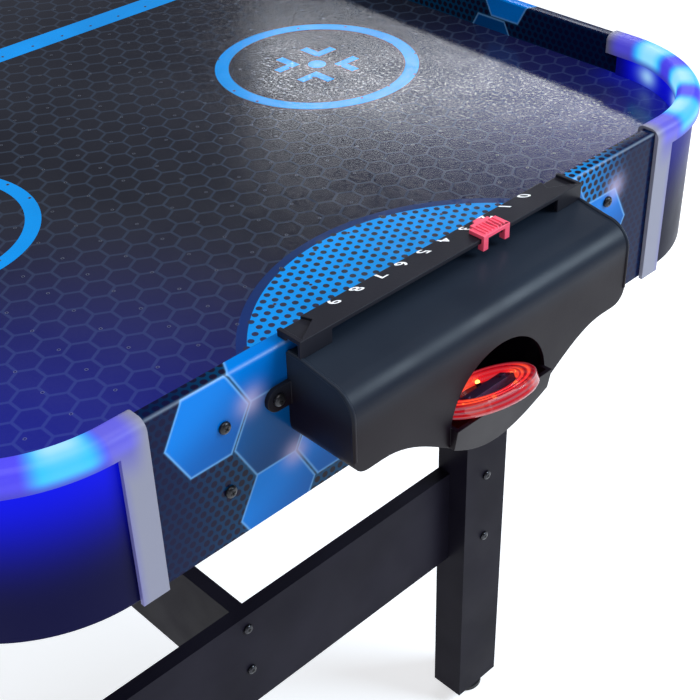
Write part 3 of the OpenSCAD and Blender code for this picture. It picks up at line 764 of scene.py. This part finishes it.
def score_digits():
    """White digits along the table side of each scorer, low enough for the marker to clear."""
    white = satin("digit_white", (0.80, 0.80, 0.84), 0.4, 600.0, 0.04)
    for end, sign in ENDS.items():
        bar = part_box("scorer_bar_" + end)
        edge = bar[1][0] if sign < 0 else bar[0][0]
        for number in range(10):
            mesh = digit_mesh(number)
            up = Matrix(((0, -1, 0, 0), (1, 0, 0, 0), (0, 0, 1, 0), (0, 0, 0, 1)))
            turn = Matrix.Rotation(0 if sign < 0 else pi, 4, "Z")
            spot = Matrix.Translation((edge + sign * DIGIT_INSET,
                                       -sign * (number - 4.5) * DIGIT_PITCH, BAR_TOP + DIGIT_MIDDLE))
            mesh.transform(spot @ turn @ up @ DIGIT_SLANT)
            piece = new_piece(f"digit_{number}_{end}", mesh, white)
            mesh.materials.append(looks["scorer_plastic"])
            for polygon in mesh.polygons:
                polygon.material_index = 0 if polygon.normal.z > 0.5 else 1


score_digits()


# ---------------------------------------------------------------- screws and bolts
def lathe(name, profile, at, axis, mat, body="table", steps=24):
    """A turned solid: profile is (radius, height) from its base, along axis from at."""
    bm = bmesh.new()
    rings = []
    for radius, height in profile:
        if radius == 0:
            rings.append([bm.verts.new((0, 0, height))])
            continue
        rings.append([bm.verts.new((radius * cos(2 * pi * k / steps),
                                    radius * sin(2 * pi * k / steps), height))
                      for k in range(steps)])
    for low, high in zip(rings, rings[1:]):
        for k in range(steps):
            n = (k + 1) % steps
            if len(low) == 1:
                bm.faces.new((low[0], high[k], high[n]))
            elif len(high) == 1:
                bm.faces.new((low[k], low[n], high[0]))
            else:
                bm.faces.new((low[k], low[n], high[n], high[k]))
    smooth_by_angle(bm, 50)
    turn = Vector((0, 0, 1)).rotation_difference(Vector(axis)).to_matrix().to_4x4()
    bm.transform(Matrix.Translation(at) @ turn)
    bmesh.ops.recalc_face_normals(bm, faces=bm.faces)
    mesh = bpy.data.meshes.new(name)
    bm.to_mesh(mesh)
    bm.free()
    return new_piece(name, mesh, mat, body)


def cross_recess(name, at, axis, size, mat, turn=0.0):
    """A cross-shaped driver recess, seen as dark sunk walls in the top of a screw head; the dark is
    painted shade.
    """
    bm = bmesh.new()
    for k in range(2):
        made = bmesh.ops.create_cube(bm, size=1.0)["verts"]
        bmesh.ops.scale(bm, verts=made, vec=(size, size * 0.26, size * 0.16))
        bmesh.ops.rotate(bm, verts=made, matrix=Matrix.Rotation(k * pi / 2 + turn, 3, "Z"))
    spin = Vector((0, 0, 1)).rotation_difference(Vector(axis)).to_matrix().to_4x4()
    bm.transform(Matrix.Translation(at) @ spin)
    mesh = bpy.data.meshes.new(name)
    bm.to_mesh(mesh)
    bm.free()
    return new_piece(name, mesh, mat)


def pan_profile(radius, height):
    return [(0, 0), (radius * 0.96, 0), (radius, height * 0.25), (radius * 0.93, height * 0.62),
            (radius * 0.74, height * 0.88), (radius * 0.42, height), (0, height)]


def screw_heads():
    black = looks["black_steel"]
    # Painted shade: the recess material is darker than the screw, standing in for shade in the
    # recess.
    painted_recess_shade = satin("driver_recess", (0.004, 0.004, 0.005), 0.6)
    panel = []
    goal = []
    for sign in ENDS.values():
        out = (sign, 0, 0)
        face = sign * HALF_L
        for side in (-1, 1):
            for z in (-4 * MM, -50 * MM):
                panel.append((Vector((face, side * 169 * MM, FIELD + z)), out))
            goal.append((Vector((face + sign * 3 * MM, side * 132 * MM, FIELD - 4 * MM)), out))
    for node, spots in (("panel_screws", panel), ("goal_box_screws", goal)):
        for i, (at, out) in enumerate(spots):
            head = lathe(f"{node}_head_{i}", pan_profile(4 * MM, 2.6 * MM), at, out, black)
            mark = cross_recess(f"{node}_recess_{i}", at + Vector(out) * 2.5 * MM, out, 3.4 * MM,
                                painted_recess_shade, 0.4 + i)
            if i == 0:
                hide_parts(node)


def bolt_heads():
    """Hex-socket furniture bolts on the legs and on the end boards."""
    steel = satin("bolt_dark", (0.035, 0.035, 0.040), 0.25, 500.0, 0.04, Metallic=0.85)
    # Painted shade: a thin dark hexagon on each bolt head stands in for the shade inside its socket.
    painted_recess_shade = satin("bolt_socket", (0.004, 0.004, 0.005), 0.6)
    for node in ("leg_bolts", "stretcher_bolts"):
        low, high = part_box(node)
        ys = (low[1] + 5 * MM, high[1] - 5 * MM) if node == "leg_bolts" else (0.0,)
        zs = (low[2] + (5.5 if node == "leg_bolts" else 5) * MM,
              high[2] - (5.5 if node == "leg_bolts" else 5) * MM)
        count = 0
        for sign in ENDS.values():
            face = (low[0] if sign < 0 else high[0]) - sign * 3.2 * MM
            for y in ys:
                for z in zs:
                    at = Vector((face, y, z))
                    head = lathe(f"{node}_head_{count}", pan_profile(5 * MM, 3.2 * MM), at,
                                 (sign, 0, 0), steel)
                    socket = lathe(f"{node}_socket_{count}", [(0, 0), (1.9 * MM, 0),
                                   (1.9 * MM, 0.15 * MM), (0, 0.15 * MM)],
                                   at + Vector((sign * 3.1 * MM, 0, 0)), (sign, 0, 0), painted_recess_shade,
                                   steps=6)
                    if count == 0:
                        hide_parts(node)
                    count += 1
                    if node == "leg_bolts":
                        inner = at.x - sign * 46 * MM
                        nut = lathe(f"leg_nut_{count}", [(0, 0), (5.5 * MM, 0),
                                    (5.5 * MM, 4.4 * MM), (4.6 * MM, 5 * MM), (0, 5 * MM)],
                                    Vector((inner, y, z)), (sign, 0, 0), steel, steps=6)


screw_heads()
bolt_heads()


# ---------------------------------------------------------------- goal box trim
def tube(name, points, radius, mat, body="table"):
    curve = bpy.data.curves.new(name, "CURVE")
    curve.dimensions = "3D"
    curve.bevel_depth = radius
    curve.bevel_resolution = 3
    curve.use_fill_caps = True
    spline = curve.splines.new("POLY")
    spline.points.add(len(points) - 1)
    for point, at in zip(spline.points, points):
        point.co = (*at, 1.0)
    holder = bpy.data.objects.new(name, curve)
    bpy.context.scene.collection.objects.link(holder)
    bpy.context.view_layer.update()
    graph = bpy.context.evaluated_depsgraph_get()
    mesh = bpy.data.meshes.new_from_object(holder.evaluated_get(graph))
    bpy.data.objects.remove(holder)
    for polygon in mesh.polygons:
        polygon.use_smooth = True
    return new_piece(name, mesh, mat, body)


def goal_box_beads():
    """Raised bead along each end of a goal box, down its rounded front."""
    depth, top, radius, bead = 52 * MM, 18 * MM, 17 * MM, 1.5 * MM
    for end, sign in ENDS.items():
        for side in (-1, 1):
            y = side * (122.5 - 1.3) * MM
            outline = [(1.5 * MM, 22 * MM), (12 * MM, 22 * MM)]
            for k in range(13):
                a = radians(90 - 7.5 * k)
                outline.append((depth - radius + radius * cos(a), top - radius + radius * sin(a)))
            outline.append((depth, -27 * MM))
            points = [(sign * (HALF_L + out - 0.6 * MM), y, FIELD + z - 0.3 * MM)
                      for out, z in outline]
            bead_piece = tube(f"goal_box_bead_{end}_{'left' if side > 0 else 'right'}", points,
                              bead, looks["goal_box_plastic"])


goal_box_beads()


# ---------------------------------------------------------------- lamps in the puck
def puck_lamps():
    hot = glowing("puck_lamp", (1.0, 0.30, 0.05), 5.0)
    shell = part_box("puck_shell")
    middle = (Vector(shell[0]) + Vector(shell[1])) / 2
    turn = Matrix.Rotation(PUCK_PITCH, 4, "Y")
    for k in range(6):
        a = radians(30 + 60 * k)
        local = Vector((19.5 * MM * cos(a), 19.5 * MM * sin(a), 0.2 * MM))
        piece = lathe(f"puck_lamp_{k}", [(0, 0), (1.6 * MM, 0), (1.5 * MM, 1.0 * MM),
                      (0.8 * MM, 1.6 * MM), (0, 1.8 * MM)], middle + turn @ local,
                      turn @ Vector((0, 0, 1)), hot, "puck", 12)


puck_lamps()


# ---------------------------------------------------------------- stage, lights and camera
def make_stage():
    bpy.ops.mesh.primitive_plane_add(size=30.0, location=(0, 0, 0))
    floor = bpy.context.object
    floor.name = "floor"
    look = Look("floor_white", (0.80, 0.80, 0.81), 0.95)
    look.bsdf.inputs["Specular IOR Level"].default_value = 0.1
    look.bsdf.inputs["Emission Color"].default_value = (1.0, 1.0, 1.0, 1.0)
    look.bsdf.inputs["Emission Strength"].default_value = 0.62
    floor.data.materials.append(look.mat)
    world = bpy.data.worlds.new("studio")
    world.use_nodes = True
    world.node_tree.nodes["Background"].inputs["Color"].default_value = (0.85, 0.88, 1.0, 1.0)
    world.node_tree.nodes["Background"].inputs["Strength"].default_value = 0.16
    bpy.context.scene.world = world


def area_light(name, at, target, size, power, color=(1, 1, 1), size_y=None):
    data = bpy.data.lights.new(name, "AREA")
    data.energy = power
    data.color = color
    data.shape = "RECTANGLE"
    data.size = size
    data.size_y = size_y or size
    lamp = bpy.data.objects.new(name, data)
    lamp.location = at
    lamp.rotation_euler = (Vector(target) - Vector(at)).to_track_quat("-Z", "Y").to_euler()
    bpy.context.scene.collection.objects.link(lamp)


def make_lights():
    area_light("overhead_soft", (-0.4, 0.3, 3.4), (-0.2, 0, 0.6), 2.6, 60, (1.0, 0.98, 0.97))
    area_light("front_right_soft", (-3.1, -2.5, 2.9), (-0.7, 0, 0.75), 1.9, 170, (0.74, 0.88, 1.0))
    area_light("front_left_soft", (-2.6, 2.4, 1.6), (-0.5, 0, 0.6), 1.6, 14, (0.80, 0.88, 1.0))
    area_light("window", (0.45, -1.62, 1.56), (-0.5, -0.3, 0.78), 1.3, 4.0, (0.90, 0.93, 1.0),
               0.10)


CAMERA_AT = Vector((-1.1503, 0.5103, 1.2367))
CAMERA_TURN = radians(-43.222)
CAMERA_TILT = radians(35.799)
CAMERA_ROLL = radians(-1.707)


def make_camera():
    data = bpy.data.cameras.new("photo_view")
    data.sensor_width = 36.0
    data.lens = 69.88
    data.clip_start = 0.01
    camera = bpy.data.objects.new("photo_view", data)
    bpy.context.scene.collection.objects.link(camera)
    forward = Vector((cos(CAMERA_TURN) * cos(CAMERA_TILT), sin(CAMERA_TURN) * cos(CAMERA_TILT),
                      -sin(CAMERA_TILT)))
    right = forward.cross(Vector((0, 0, 1))).normalized()
    up = right.cross(forward)
    c, s = cos(CAMERA_ROLL), sin(CAMERA_ROLL)
    right, up = c * right + s * up, -s * right + c * up
    basis = Matrix((right, up, -forward)).transposed().to_4x4()
    camera.matrix_world = Matrix.Translation(CAMERA_AT) @ basis
    bpy.context.scene.camera = camera


make_stage()
make_lights()
make_camera()
bpy.context.scene.view_settings.view_transform = "Standard"
